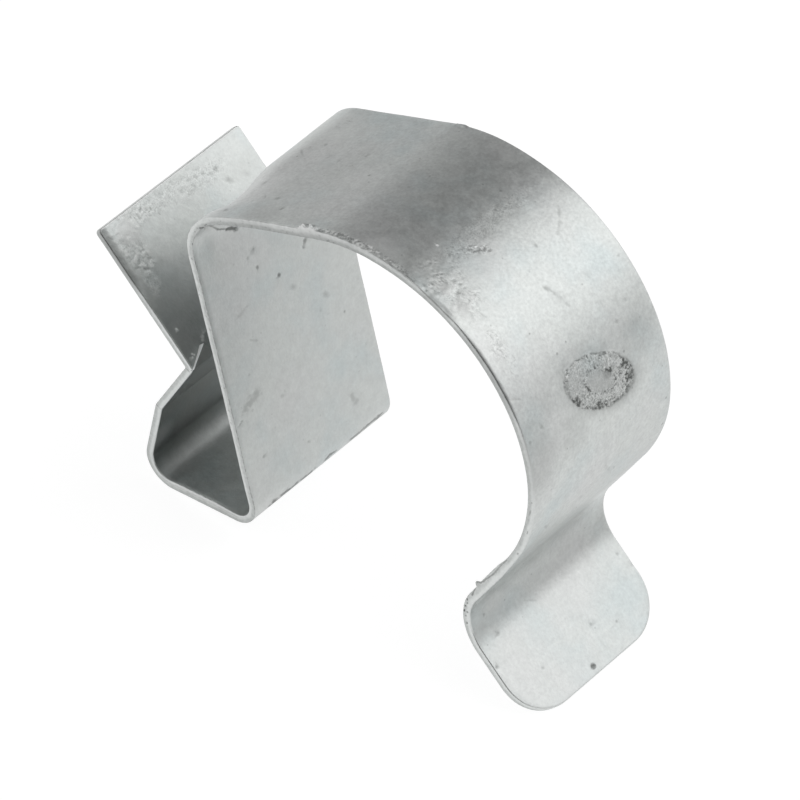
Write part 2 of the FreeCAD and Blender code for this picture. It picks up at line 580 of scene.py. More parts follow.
# Torn specks and blotches: (along, y, half length, half width, relief, painted shade in the dips, painted
# highlight on the rises)
MARKS += placed(Speckle, LEFT, {
    "loop": [(12.9, -2.8, 0.6, 0.9, 0.02, 0.5, 0.05), (13.7, -1.9, 0.6, 1.0, 0.02, 0.5, 0.05)],
    "arm": [(17.5, -9.5, 7.5, 0.55, 0.035, 0.4, 0.8)],
})
MARKS += placed(Mottle, LEFT, {
    "tongue": [
        (1.1, -2.6, 1.6, 7.4, 0.01, 0.12, 0.15), (3.8, -7.8, 3.8, 1.9, 0.03, 0.3, 0.6),
        (7.0, -8.1, 2.4, 1.3, 0.025, 0.2, 0.25), (2.0, 2.6, 1.5, 5.6, 0.015, 0.2, 0.2),
    ],
    "loop": [(15.0, -7.6, 4.2, 2.3, 0.03, 0.34, 0.4), (11.9, 0.0, 1.6, 9.5, 0.006, 0.1, 0.12)],
})

# Ridges on the edges: (edge, along, length, width, height, grime and painted shade, bare metal and painted
# highlight, jag)
MARKS += placed(Burr, LEFT, {
    "arm": [(FRONT, 10.1, 2.9, 0.8, 0.4, 0.0, 0.8, 1.8), (FRONT, -1.5, 20.0, 0.4, 0.06, 0.0, 0.35)],
    "loop": [
        (FRONT, 12.4, 5.0, 0.6, -0.16, 0.35, 0.0, 0.3), (FRONT, 16.4, 13.0, 0.36, -0.1, 0.5, 0.0, 0.3),
        (BACK, 0.3, 1.8, 0.7, 0.15),
    ],
    "pocket": [(FRONT, 2.9, 10.6, 0.5, 0.17, 0.0, 0.3, 0.15)],
    "tongue": [(FRONT, -3.0, 12.0, 0.95, -0.16, 0.8, 0.0, 0.05)],
    "neck": [(FRONT, -0.8, 12.0, 0.6, 0.2, 0.0, 0.1, 0.25)],
    "lip": [(BACK, 2.6, 0.6, 0.4, -0.07, 0.25)],
})
MARKS += placed(Burr, RIGHT, {
    "loop": [(FRONT, 46.2, 8.4, 0.45, 0.14, 0.0, 0.2, 0.2)],
    "neck": [(FRONT, 5.4, 0.9, 0.35, 0.42, 0.3, 0.0, 0.2)],
})

# Pits and scored lines on the sheared edge: (along, offset, run, rise, reach, depth, grime)
EDGE_MARKS = placed(EdgeMark, FRONT, {
    "neck": [
        (-0.4, -0.3, 3.1, 0.14, 0.07, 0.04, 0.5), (2.65, -0.16, 3.1, -0.2, 0.08, 0.05, 0.6),
        (6.7, -0.38, 1.1, 0.2, 0.09, 0.04, 0.6),
    ],
    "waist": [
        (1.05, -0.33, 0.0, 0.0, 0.14, 0.05, 0.85), (1.5, -0.1, 0.0, 0.0, 0.13, 0.05, 0.75),
        (2.0, -0.2, 0.0, 0.0, 0.15, 0.05, 0.85), (2.7, -0.24, 0.0, 0.0, 0.2, 0.06, 0.9),
        (2.65, 0.1, 0.0, 0.0, 0.13, 0.05, 0.7), (3.25, 0.0, 0.0, 0.0, 0.13, 0.05, 0.75),
        (4.1, 0.04, 0.0, 0.0, 0.13, 0.05, 0.7),
    ],
    "loop": [
        (37.0, 0.1, 0.0, 0.0, 0.12, 0.04, 0.6), (38.3, 0.0, 0.2, 0.0, 0.1, 0.04, 0.5),
        (39.4, -0.05, 0.0, 0.0, 0.12, 0.04, 0.6), (41.0, 0.1, 0.3, 0.0, 0.1, 0.04, 0.45),
        (44.6, 0.15, 0.1, 0.0, 0.12, 0.04, 0.5),
    ],
    "pocket": [(3.4, 0.12, 10.0, 0.02, 0.07, 0.03, 0.2)],
    "shoulder": [
        (5.0, -0.2, 0.6, -0.2, 0.11, 0.04, 0.75), (6.0, -0.28, 0.4, 0.05, 0.09, 0.03, 0.5),
        (2.05, -0.33, 0.15, 0.0, 0.1, 0.03, 0.6),
    ],
    "crease": [(0.55, -0.35, 0.1, 0.5, 0.06, 0.03, 0.4)],
    "kink": [(0.1, -0.35, 0.1, 0.6, 0.06, 0.03, 0.35)],
})

EDGE_PITS = 44
SPRINKLED_PITS = 90


def edge_pits():
    """Small pits on the sheared front edge from the wall to the loop."""
    draw = np.random.default_rng(77)
    pits = []
    for _ in range(EDGE_PITS):
        along = draw.uniform(8.0, 52.0)
        offset = draw.uniform(-0.36, 0.3)
        reach = draw.uniform(0.07, 0.13)
        grime_and_shade = draw.uniform(0.2, 0.5)
        pits.append(EdgeMark(FRONT, "wall", along, offset, 0.2 * reach, 0.0, reach, 0.03, grime_and_shade))
    return pits


def sprinkled_pits():
    """Small pits with no pattern, on both faces."""
    draw = np.random.default_rng(2024)
    pits = []
    for _ in range(SPRINKLED_PITS):
        side = LEFT if draw.uniform() < 0.6 else RIGHT
        s = draw.uniform(1.0, strip.length - 2.0)
        y = draw.uniform(-9.2, 9.2)
        reach = draw.uniform(0.1, 0.22)
        pits.append(Mark(side, "tongue", s, y, reach, 0.08 * reach, draw.uniform(0.14, 0.38)))
    return pits


EDGE_MARKS += edge_pits()
MARKS += sprinkled_pits()


class RoundMark:
    """Oval mark pressed into the loop: a rough speckled ring with a smoother middle, in a shallow dish."""

    side = LEFT
    halvings = 3
    s = strip.station("loop", 30.1)
    y = 0.95
    half_length = 4.85
    half_width = 2.72
    turn = radians(62)
    # Spots of painted shade, by distance along the loop, place across it and reach
    shade_spots = [(30.3, 4.3, 0.9), (31.8, 4.7, 0.8), (29.8, 2.0, 0.9), (30.2, -2.5, 0.8), (32.3, 0.3, 0.7)]

    def __init__(self):
        self.coarse = FlatNoise(21, 0.6)
        self.middling = FlatNoise(22, 0.25)
        self.fine = FlatNoise(23, 0.12)

    def axes(self, s, y):
        """Shares of the half length and half width that a point lies along and across the oval."""
        along = (s - self.s) * cos(self.turn) + (y - self.y) * sin(self.turn)
        across = (y - self.y) * cos(self.turn) - (s - self.s) * sin(self.turn)
        return along / self.half_length, across / self.half_width

    def covers(self, s, y):
        return np.hypot(*self.axes(s, y)) < 1.1

    def spot_shading(self, s, y):
        spot_shade = np.zeros_like(s)
        for along, across, reach in self.shade_spots:
            distance = np.hypot(s - strip.station("loop", along), y - across) + 0.3 * self.coarse(s, y)
            spot_shade = np.maximum(spot_shade, 1.0 - smooth_step(0.25, 1.0, distance / reach))
        return spot_shade

    def relief(self, s, y):
        """Height, darkening that is partly painted shade, paling that is painted highlight, and roughness of
        the mark.
        """
        along, across = self.axes(s, y)
        share = np.hypot(along, across)
        coarse = self.coarse(s, y)
        ragged = share + 0.05 * coarse
        inside = 1.0 - smooth_step(0.94, 1.02, ragged)
        ring = inside * smooth_step(0.22, 0.62, ragged)
        inner_ring = np.exp(-((ragged - 0.42) / 0.06) ** 2)
        rim = np.exp(-((ragged - 0.97) / 0.05) ** 2)
        dish = np.exp(-((share - 0.95) / 0.28) ** 2)
        halo_shade = np.exp(-((share - 1.0) / 0.2) ** 2) * smooth_step(1.5, 1.2, share)
        calm = smooth_step(-0.1, -0.75, along) * (1.0 - smooth_step(0.8, 0.95, share))
        patchy = 0.45 + 0.55 * smooth_step(-0.3, 0.3, self.coarse(s + 9.0, y))
        torn = ring * (1.0 - 0.7 * calm) * patchy
        spot_shade = self.spot_shading(s, y) * inside
        lower = smooth_step(-1.5, 2.5, s - self.s)
        middle = inside * (1.0 - smooth_step(0.25, 0.75, ragged))
        speckle = 0.5 * self.middling(s, y) + 0.65 * self.fine(s, y)
        # Painted shade in the dips of the speckle and at the spots
        pits = smooth_step(0.05, 0.55, 0.35 * spot_shade - speckle)
        height = torn * (0.05 * speckle + 0.02 * coarse) + 0.015 * inner_ring - 0.03 * rim
        height += -0.03 * inside - 0.08 * dish + 0.008 * (inside - ring) * coarse
        # Darker inside the mark and further along the loop, with painted shade in the dips, at the spots and
        # in the rim groove, and a painted shadow round the dish
        grime_and_shade = torn * pits * (0.5 + 0.42 * spot_shade) + (0.13 + 0.14 * lower) * inside + 0.1 * middle
        grime_and_shade += 0.25 * spot_shade + (0.1 + 0.1 * lower) * halo_shade
        grime_and_shade += 0.5 * inner_ring * pits + 0.35 * rim * smooth_step(-0.3, 0.4, coarse)
        # Pale specks on the rises of the speckle, a painted highlight
        bare_and_highlight = torn * smooth_step(0.15, 0.5, speckle) * (0.45 - 0.4 * spot_shade)
        rough = inside * (0.25 + 0.75 * torn + 0.3 * inner_ring)
        return height, np.clip(grime_and_shade, 0.0, 0.95), bare_and_highlight, np.clip(rough, 0.0, 1.0)


round_mark = RoundMark()
FACE_MARKS = MARKS + [round_mark]


def most_halvings(marks, s, y):
    """How often the mesh is halved at flat points for the marks that reach them."""
    wanted = np.zeros(len(s), int)
    for mark in marks:
        inside = mark.covers(s, y)
        wanted[inside] = np.maximum(wanted[inside], mark.halvings)
    return wanted


def face_relief(s, y, side):
    """Height above one face, grime and painted shade, bare metal and painted highlight, and roughness at
    flat points, a row of each.
    """
    height, grime_and_shade, bare_and_highlight, rough = np.zeros((4, len(s)))
    for mark in MARKS:
        if mark.side != side:
            continue
        near = mark.covers(s, y)
        place = (s[near], y[near])
        weight = mark.weight(*place)
        height[near] += mark.height(*place, weight)
        grime_and_shade[near] = np.maximum(grime_and_shade[near], mark.grime_and_shade * mark.stain(*place, weight))
        bare_and_highlight[near] = np.maximum(bare_and_highlight[near], mark.bare_and_highlight * mark.shine(*place, weight))
        rough[near] = np.maximum(rough[near], mark.rough * weight)
    looks = np.stack([grime_and_shade, bare_and_highlight, rough])
    if side == round_mark.side:
        pressed, *pressed_looks = round_mark.relief(s, y)
        height += pressed
        looks = np.maximum(looks, pressed_looks)
    return np.vstack([height, looks])


def edge_relief(s, y, offset):
    """How far the sheared edge is sunk at flat points, and the grime there."""
    sunk = np.zeros_like(s)
    grime_and_shade = np.zeros_like(s)
    for mark in EDGE_MARKS:
        near = mark.covers(s, y)
        weight = mark.weight(s[near], offset[near])
        sunk[near] = np.maximum(sunk[near], mark.depth * weight)
        grime_and_shade[near] = np.maximum(grime_and_shade[near], mark.grime_and_shade * weight)
    return sunk, grime_and_shade


# Painted light and shade along the left face, as a factor on the plating's colour: darker as painted shade
# inside the jaw, at the tongue's crease end and in the waist, and lighter as painted light on the tongue's
# middle and the pocket floor: (along, factor) by stretch
LEFT_PAINTED_SHADING = {
    "tongue": [(0.0, 1.0), (3.0, 1.04), (5.0, 1.15), (8.5, 0.94), (11.0, 0.72), (14.0, 0.72)],
    "throat": [(0.0, 0.73), (6.0, 0.67)],
    "pocket_side": [(0.5, 0.55), (5.0, 0.53)],
    "pocket": [(1.2, 0.5), (2.0, 0.58), (4.0, 0.88), (4.7, 1.06)],
    "pocket_floor": [(2.0, 1.2), (6.0, 1.28)],
    "wall": [(2.0, 1.0)],
    "shoulder": [(6.0, 1.0)],
    "arm": [(0.3, 1.0), (2.0, 1.01), (8.0, 1.0)],
    "loop": [
        (2.0, 0.98), (8.0, 0.95), (14.0, 1.08), (18.0, 1.0), (24.0, 1.08), (42.0, 0.98), (46.0, 0.92),
    ],
    "neck": [(2.0, 0.98), (3.7, 1.06), (6.5, 1.08)],
    "waist": [(0.8, 1.08), (1.6, 1.02), (2.2, 0.92), (3.4, 0.85), (4.7, 0.8), (6.4, 0.95)],
    "lip": [(1.0, 1.02)],
}
# Painted shade along the right face, darker towards the shoulder end of the wall, and along the sheared
# edge, darker on the pocket floor, the arm and the start of the loop
RIGHT_PAINTED_SHADING = {
    "wall": [(0.0, 0.98), (14.0, 0.96), (26.0, 0.92)],
    "shoulder": [(6.0, 0.98)],
}
EDGE_PAINTED_SHADING = {
    "pocket_side": [(3.0, 1.0)],
    "pocket_floor": [(1.0, 0.84), (7.0, 0.84)],
    "wall": [(2.0, 1.0)],
    "shoulder": [(3.0, 0.98)],
    "arm": [(3.0, 0.74)],
    "loop": [(6.0, 0.74), (16.0, 0.9)],
    "neck": [(3.0, 1.0)],
}
# Strength of the fine speckle along the left face, and on the whole of the right one
LEFT_WEAR = {
    "tongue": [(0.0, 0.5), (9.0, 0.35)],
    "throat": [(0.0, 0.3)],
    "wall": [(2.0, 0.3)],
    "arm": [(0.0, 0.8)],
    "loop": [(8.0, 1.0), (40.0, 0.8)],
    "lip": [(4.0, 0.6)],
}
RIGHT_WEAR = {"tongue": [(0.0, 0.4)]}


def along_strip(s, table):
    """Values between the stations of a table of (along, value) by stretch."""
    stations = [(strip.station(name, along), value) for name, rows in table.items() for along, value in rows]
    return np.interp(s, *zip(*stations))


def between_faces(s, share, right, left):
    """Values between two tables, where share runs from 0 on the right face to 1 on the left one."""
    low = along_strip(s, right)
    return low + share * (along_strip(s, left) - low)


# Depth of the dent in the shoulder, its half length and where it fades out across the strip
DENT_DEPTH = 0.72
DENT_CENTRE = strip.station("shoulder", 5.0)
DENT_HALF_LENGTH = 3.6
DENT_FADES = (0.5, -5.0)

# How far the front edge stands off its curve beside the dent, (along, height) by stretch, and where that
# fades in across the strip
KNOCK = {
    "wall": [(26.0, 0.0)],
    "shoulder": [(1.6, 0.09), (2.7, 0.08), (3.7, -0.02), (4.8, -0.16), (6.5, -0.2), (7.9, -0.3)],
    "arm": [(0.5, -0.21), (2.1, -0.1), (5.0, 0.0)],
}
KNOCK_FADES = (-7.0, -8.6)
KNOCK_BLUR = 0.5

# Share of the way from the round outside of the crease to a sharp corner
CREASE_SHARPNESS = 0.5


def shoulder_dent(s, y, share):
    """Height of the dent in the shoulder, which is shallower on the right face, where share is 0."""
    along = np.exp(-((s - DENT_CENTRE) / DENT_HALF_LENGTH) ** 2)
    dent = -DENT_DEPTH * (0.35 + 0.65 * share) * along * smooth_step(*DENT_FADES, y)
    knock = sum(along_strip(s + shift, KNOCK) for shift in (-KNOCK_BLUR, 0.0, KNOCK_BLUR)) / 3
    front = smooth_step(*KNOCK_FADES, y)
    return dent + front * (knock - dent)


def crease_corner(s):
    """Height that draws the round outside of the crease out to a corner."""
    crease = strip.stretches["crease"]
    outside_radius = HALF + 1.0 / abs(crease.curvature)
    from_end = np.clip(np.minimum(s - crease.start, crease.end - s), 0.0, crease.length)
    return CREASE_SHARPNESS * outside_radius * (1.0 / np.cos(from_end * crease.curvature) - 1.0)


# Waves of the sheet, which fade out at the ends of a stretch and turn inwards near the outermost points
WAVE_HEIGHT = 0.04
WAVE_FADE = 2.0
INWARD_REACH = 4.0
WAVY_STRETCHES = ("tongue", "wall", "shoulder", "arm", "loop", "neck")

# Bites out of the strip's edges
EDGE_ROUGHNESS = 0.015
ROUGH_EDGE_WIDTH = 0.5


def outermost_stations():
    """Distances along the strip of its highest point and its rightmost one."""
    s = np.linspace(0.0, strip.length, PROFILE_SAMPLES)
    points = strip.place(s, s * 0.0, HALF)
    return s[points[:, 2].argmax()], s[points[:, 0].argmax()]


def sheet_wave(s, y):
    """Slight waves of the whole sheet, only inwards where the strip gives the clip its outer size."""
    share = np.zeros_like(s)
    for name in WAVY_STRETCHES:
        stretch = strip.stretches[name]
        fade_in = smooth_step(stretch.start, stretch.start + WAVE_FADE, s)
        share += fade_in * smooth_step(stretch.end, stretch.end - WAVE_FADE, s)
    inwards = np.zeros_like(s)
    for station in outermost_stations():
        inwards += np.exp(-((s - station) / INWARD_REACH) ** 2)
    return WAVE_HEIGHT * np.clip(share, 0.0, 1.0) * (wave_noise(s, y) - inwards)


class Outline:
    """Rows across the flat strip. A row at a rounded corner bends round it, so insets stay parallel."""

    def __init__(self):
        lip_start = strip.length - LIP_CORNER_RADIUS
        straight = self.straight_rows(TONGUE_CORNER_RADIUS, lip_start)
        tongue_turns = pi / 2 * np.arange(TONGUE_CORNER_ROWS, 0, -1) / TONGUE_CORNER_ROWS
        lip_turns = pi / 2 * np.arange(1, LIP_CORNER_ROWS + 1) / LIP_CORNER_ROWS
        counts = [TONGUE_CORNER_ROWS, len(straight), LIP_CORNER_ROWS]
        self.centre = np.repeat([TONGUE_CORNER_RADIUS, 0.0, lip_start], counts)
        self.centre[TONGUE_CORNER_ROWS:-LIP_CORNER_ROWS] = straight
        self.angle = np.concatenate([tongue_turns, np.zeros(len(straight)), lip_turns])
        self.radius = np.repeat([TONGUE_CORNER_RADIUS, 0.0, LIP_CORNER_RADIUS], counts)
        self.sign = np.repeat([-1.0, 1.0, 1.0], counts)
        self.columns = np.linspace(-1.0, 1.0, round(STRIP_WIDTH / COLUMN_STEP) + 1)

    @staticmethod
    def straight_rows(first, last):
        rows = []
        for name, stretch in strip.stretches.items():
            low = max(stretch.start, first)
            high = min(stretch.end, last)
            count = BEND_ROWS.get(name, max(2, round((high - low) / ROW_STEP)))
            rows += list(np.linspace(low, high, count, endpoint=False))
        return rows + [last]

    def row_s(self, inset):
        return self.centre + self.sign * (self.radius - inset) * np.sin(self.angle)

    def row_half_width(self, inset):
        return EDGE_Y - self.radius + (self.radius - inset) * np.cos(self.angle)

    def grid(self, inset):
        """Flat points of one face, rows by columns."""
        s = np.repeat(self.row_s(inset)[:, None], len(self.columns), axis=1)
        y = self.row_half_width(inset)[:, None] * self.columns[None, :]
        return s, y

    def ring(self, inset):
        """Flat points once round the outline: front edge, lip end, back edge, tongue end."""
        s, y = self.grid(inset)
        return self.around(s), self.around(y)

    @staticmethod
    def around(grid):
        return np.concatenate([grid[:-1, 0], grid[-1, :-1], grid[:0:-1, -1], grid[0, :0:-1]])


outline = Outline()

# Order of the materials on the mesh
PLATED_FACE = 0
SHEARED_FACE = 1
TORN_FACE = 2
TOOTH_FACE = 3

# Steps round each rounded edge, and offsets of the loops along the flat of the cut
EDGE_ROUNDING_STEPS = 3
CUT_OFFSETS = (0.12, -0.02, -0.16)


def edge_sections():
    """(inset, offset) of the loops that run round the sheared edge, from the left face to the right one."""
    left = LEFT_EDGE_ROUNDING
    right = RIGHT_EDGE_ROUNDING
    turns = [pi / 2 * k / EDGE_ROUNDING_STEPS for k in range(EDGE_ROUNDING_STEPS + 1)]
    sections = [(left * (1 - sin(turn)), HALF - left * (1 - cos(turn))) for turn in turns[1:]]
    sections += [(0.0, offset) for offset in CUT_OFFSETS]
    sections += [(right * (1 - cos(turn)), -HALF + right * (1 - sin(turn))) for turn in turns[:-1]]
    return sections


def strip_mesh():
    """Flat coordinates of every vertex, the faces, and which faces belong to the sheared edge."""
    rows = len(outline.centre)
    columns = len(outline.columns)
    parts = []

    def add(s, y, offset):
        parts.append(np.stack([s.ravel(), y.ravel(), np.full(s.size, offset)], axis=-1))

    add(*outline.grid(LEFT_EDGE_ROUNDING), HALF)
    add(*outline.grid(RIGHT_EDGE_ROUNDING), -HALF)
    index = np.arange(rows * columns).reshape(rows, columns)
    loops = [outline.around(index)]
    total = 2 * rows * columns
    for inset, offset in edge_sections():
        add(*outline.ring(inset), offset)
        count = len(parts[-1])
        loops.append(np.arange(total, total + count))
        total += count
    loops.append(outline.around(index + rows * columns))
    corners = [index[:-1, :-1], index[1:, :-1], index[1:, 1:], index[:-1, 1:]]
    left = np.stack(corners, axis=-1).reshape(-1, 4)
    right = left[:, ::-1] + rows * columns
    bands = []
    for a, b in zip(loops, loops[1:]):
        bands.append(np.stack([a, b, np.roll(b, -1), np.roll(a, -1)], axis=-1))
    faces = np.concatenate([left, right] + bands)
    is_edge = np.zeros(len(faces), int)
    is_edge[len(left) + len(right):] = SHEARED_FACE
    return np.concatenate(parts), faces, is_edge


def faces_to_halve(work, level):
    """Whether each face is to be halved again for the marks on its own side of the strip."""
    centres = np.array([face.calc_center_median() for face in work.faces])
    on_edge = np.array([face.material_index for face in work.faces]) == SHEARED_FACE
    side = np.where(on_edge, 0, np.sign(centres[:, 2]))
    wanted = np.zeros(len(centres), int)
    for value in (LEFT, RIGHT, 0):
        marks = [mark for mark in FACE_MARKS if mark.side == value] if value else EDGE_MARKS
        wanted[side == value] = most_halvings(marks, *centres[side == value, :2].T)
    return (wanted > level).tolist()


def edge_lines_to_halve(work, level):
    """The lines along the sheared edge that are halved with the marks on the faces beside it."""
    lines = []
    middles = []
    for line in work.edges:
        start, end = (vertex.co for vertex in line.verts)
        on_edge = all(face.material_index == SHEARED_FACE for face in line.link_faces)
        if on_edge and abs(start.z - end.z) < 1e-6:
            lines.append(line)
            middles.append((start + end) / 2)
    wanted = most_halvings(FACE_MARKS, *np.array(middles)[:, :2].T) > level
    return [line for line, halve in zip(lines, wanted.tolist()) if halve]


def flat_work():
    """The flat strip as a mesh of (s, y, offset) points, halved where its marks need it."""
    flat, faces, is_edge = strip_mesh()
    work = bmesh.new()
    vertices = [work.verts.new(point) for point in flat.tolist()]
    for face, material in zip(faces.tolist(), is_edge.tolist()):
        work.faces.new([vertices[i] for i in face]).material_index = material
    for level in range(MOST_HALVINGS):
        for face, halve in zip(work.faces, faces_to_halve(work, level)):
            face.tag = halve
        lines = {line for line in work.edges if any(face.tag for face in line.link_faces)}
        lines.update(edge_lines_to_halve(work, level))
        in_order = [line for line in work.edges if line in lines]
        bmesh.ops.subdivide_edges(work, edges=in_order, cuts=1, use_grid_fill=True)
    many_sided = [face for face in work.faces if len(face.verts) > 4]
    bmesh.ops.triangulate(work, faces=many_sided)
    return work


def shaped(flat):
    """Points in the frame of the flat points with all their relief, and the looks of the plating there."""
    s, y, offset = flat.T
    left = face_relief(s, y, LEFT)
    right = face_relief(s, y, RIGHT)
    edge_sunk, edge_grime = edge_relief(s, y, offset)
    share = np.clip((offset + HALF) / STRIP_THICKNESS, 0.0, 1.0)
    raised = offset + share * (left[0] + crease_corner(s)) - (1.0 - share) * right[0]
    raised += sheet_wave(s, y) + shoulder_dent(s, y, share)
    near_edge = smooth_step(EDGE_Y - ROUGH_EDGE_WIDTH, EDGE_Y, np.abs(y))
    bitten = EDGE_ROUGHNESS * near_edge * (1.0 - ragged_noise(s, y + 3.0 * offset)) / 2 + edge_sunk
    points = strip.place(s, y - np.sign(y) * bitten, raised)
    points = np.clip(points, np.array(cad_low), np.array(cad_high))
    grime_and_shade, bare_and_highlight, rough = share * left[1:] + (1.0 - share) * right[1:]
    looks = {
        "grime_and_shade": np.maximum(grime_and_shade, edge_grime),
        "bare_and_highlight": bare_and_highlight,
        "rough": rough,
        # Painted light and shade along the strip, as a factor on the plating's colour
        "painted_shading": between_faces(s, share, RIGHT_PAINTED_SHADING, LEFT_PAINTED_SHADING),
        "wear": between_faces(s, share, RIGHT_WEAR, LEFT_WEAR),
        # Painted shade along the sheared edge, as a factor on its colour
        "edge_painted_shading": along_strip(s, EDGE_PAINTED_SHADING),
    }
    return points, looks


def new_object(name, mesh):
    obj = bpy.data.objects.new(name, mesh)
    bpy.context.scene.collection.objects.link(obj)
    return obj


# Painted shade in the crease, and the teeth as they stand in the photo: how far past the crease they start,
# how high their root and apex are, how far in they reach and how far they go below the face
CREASE_PAINTED_SHADE = 0.64
TOOTH_DROP = 0.67
TOOTH_ROOT_HEIGHT = 0.25
RAISED_TOOTH_REACH = 2.25
RAISED_TOOTH_HEIGHT = 0.8
TOOTH_SUNK = 0.7

# Angle between two faces above which the shading breaks at their edge
SHARP_ANGLE = 38


def tooth_object(name, side, face, surface, sunk, root_height, apex_height, drop, tooth_reach):
    """The wedge under a raised tooth, on the face at the offset surface, and sunk that far below it."""
    tongue = strip.stretches["tongue"]

    def point(climb, reach, height):
        y = side * (EDGE_Y - reach)
        end = strip.place(np.array([tongue.end - 1e-6]), np.array([y]), surface + height)[0]
        start = strip.place(np.array([tongue.start]), np.array([y]), surface + height)[0]
        return end + (start - end) * (climb - drop) / tongue.length

    apex = (TOOTH_CLIMB, tooth_reach)
    back = (0.0, tooth_reach + TOOTH_BACK_LENGTH)
    points = [point(0.0, 0.0, -sunk), point(*apex, -sunk), point(*back, -sunk)]
    points += [point(0.0, 0.0, root_height), point(*apex, apex_height), point(*back, 0.0)]
    faces = [(0, 1, 2), (3, 5, 4), (0, 3, 4, 1), (1, 4, 5, 2), (2, 5, 3, 0)]
    mesh = bpy.data.meshes.new(name)
    mesh.from_pydata([tuple(p) for p in points], [], faces)
    for polygon in mesh.polygons:
        polygon.material_index = face
    mesh.polygons[2].material_index = TORN_FACE
    work = bmesh.new()
    work.from_mesh(mesh)
    bmesh.ops.recalc_face_normals(work, faces=work.faces)
    work.to_mesh(mesh)
    work.free()
    return new_object(name, mesh)


# The tooth on the left face and the hollow behind it:
# (operation, face, surface, sunk, root height, apex height, drop past the crease, reach)
TOOTH_CUTS = [
    ("UNION", TOOTH_FACE, HALF, TOOTH_SUNK,
     TOOTH_ROOT_HEIGHT, RAISED_TOOTH_HEIGHT, TOOTH_DROP, RAISED_TOOTH_REACH),
    ("DIFFERENCE", PLATED_FACE, -HALF, HALF, 0.0, TOOTH_HEIGHT, 0.0, TOOTH_REACH),
]


def set_attribute(mesh, name, kind, field, values):
    attribute = mesh.attributes.new(name, kind, "POINT")
    attribute.data.foreach_set(field, np.ascontiguousarray(values, dtype=np.float32).ravel())


def cut_teeth(obj):
    """Raise the teeth and hollow the strip behind them."""
    tools = []
    for side in (FRONT, BACK):
        for operation, *sizes in TOOTH_CUTS:
            tool = tooth_object(f"tooth_tool_{len(tools)}", side, *sizes)
            modifier = obj.modifiers.new(tool.name, "BOOLEAN")
            modifier.operation = operation
            modifier.solver = "EXACT"
            modifier.object = tool
            tools.append(tool)
    bpy.context.view_layer.update()
    depsgraph = bpy.context.evaluated_depsgraph_get()
    whole = bpy.data.meshes.new_from_object(obj.evaluated_get(depsgraph))
    obj.modifiers.clear()
    obj.data = whole
    for tool in tools:
        bpy.data.objects.remove(tool)
    # The cuts leave the points of their outlines without a painted shading factor, so they take the crease's
    # painted shade.
    painted_shades = np.empty(len(whole.vertices), dtype=np.float32)
    whole.attributes["painted_shading"].data.foreach_get("value", painted_shades)
    painted_shades[painted_shades == 0.0] = CREASE_PAINTED_SHADE
    whole.attributes["painted_shading"].data.foreach_set("value", painted_shades)
    for polygon in whole.polygons:
        if polygon.material_index in (TORN_FACE, TOOTH_FACE):
            polygon.use_smooth = False
    whole.set_sharp_from_angle(angle=radians(SHARP_ANGLE))


def build_clip():
    work = flat_work()
    flat = np.array([vertex.co for vertex in work.verts])
    points, looks = shaped(flat)
    for vertex, point in zip(work.verts, points.tolist()):
        vertex.co = point
    mesh = bpy.data.meshes.new("clip_strip_detailed")
    work.to_mesh(mesh)
    work.free()
    mesh.shade_smooth()
    set_attribute(mesh, "flat", "FLOAT_VECTOR", "vector", flat)
    for name, values in looks.items():
        set_attribute(mesh, name, "FLOAT", "value", values)
    for material in (zinc_material(), sheared_material(), torn_highlight_material(), shaded_tooth_material()):
        mesh.materials.append(material)
    obj = new_object("clip_strip_detailed", mesh)
    cut_teeth(obj)
    return obj


